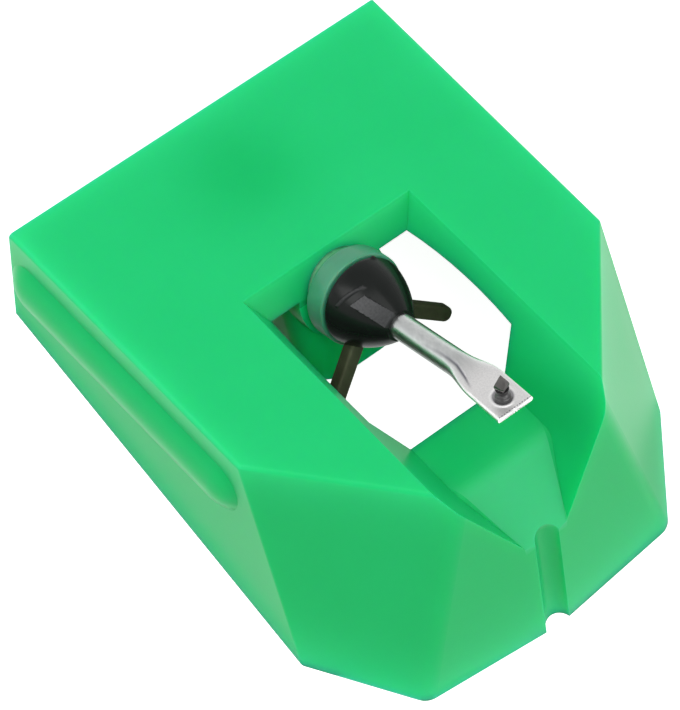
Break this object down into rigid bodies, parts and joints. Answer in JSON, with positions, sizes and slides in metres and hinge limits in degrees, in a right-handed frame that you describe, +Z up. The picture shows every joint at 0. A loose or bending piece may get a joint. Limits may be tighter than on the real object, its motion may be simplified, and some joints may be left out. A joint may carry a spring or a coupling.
{
  "type": "replacement phono stylus unit",
  "caption": "Moulded green stylus housing with a faceted nose and a funnel window, holding a sprung magnet carrier, a flattened tube cantilever and a diamond point.",
  "frame": {"origin": "middle of the unit's outline on the surface its open rim rests on", "axes": "+X across the record groove, -Y towards the nose, +Z up out of the plate on the stylus side"},
  "size_m": [0.0188, 0.0232, 0.0116],
  "materials": {
    "housing_plastic": "satin moulded, slightly translucent",
    "sleeve_metal": "turned",
    "damper_rubber": "smooth, translucent",
    "carrier_plastic": "semi-gloss moulded",
    "magnet": "ground",
    "cantilever_metal": "bright drawn",
    "shank_metal": "dark, polished",
    "diamond": "ground and polished",
    "wire_steel": "drawn",
    "anchor_metal": "turned"
  },
  "bodies": {
    "housing": {"stylus_housing": "housing_plastic", "suspension_sleeve": "sleeve_metal", "wire_anchor": "anchor_metal", "tension_wire": "wire_steel"},
    "damper": {"damper_ring": "damper_rubber"},
    "armature": {"magnet_carrier": "carrier_plastic", "magnet_left": "magnet", "magnet_right": "magnet", "cantilever": "cantilever_metal", "stylus_shank": "shank_metal", "diamond_tip": "diamond"}
  },
  "joints": [
    {"name": "cantilever_vertical", "type": "hinge", "parent": "housing", "child": "damper", "pos_m": [0, 0.00255, 0.00524], "axis": [1, 0, 0], "range_deg": [-3, 3], "stiffness_Nm_per_rad": 0.0065},
    {"name": "cantilever_lateral", "type": "hinge", "parent": "damper", "child": "armature", "pos_m": [0, 0.00255, 0.00524], "axis": [0, 0.5531, 0.8331], "range_deg": [-3, 3], "stiffness_Nm_per_rad": 0.0065}
  ]
}
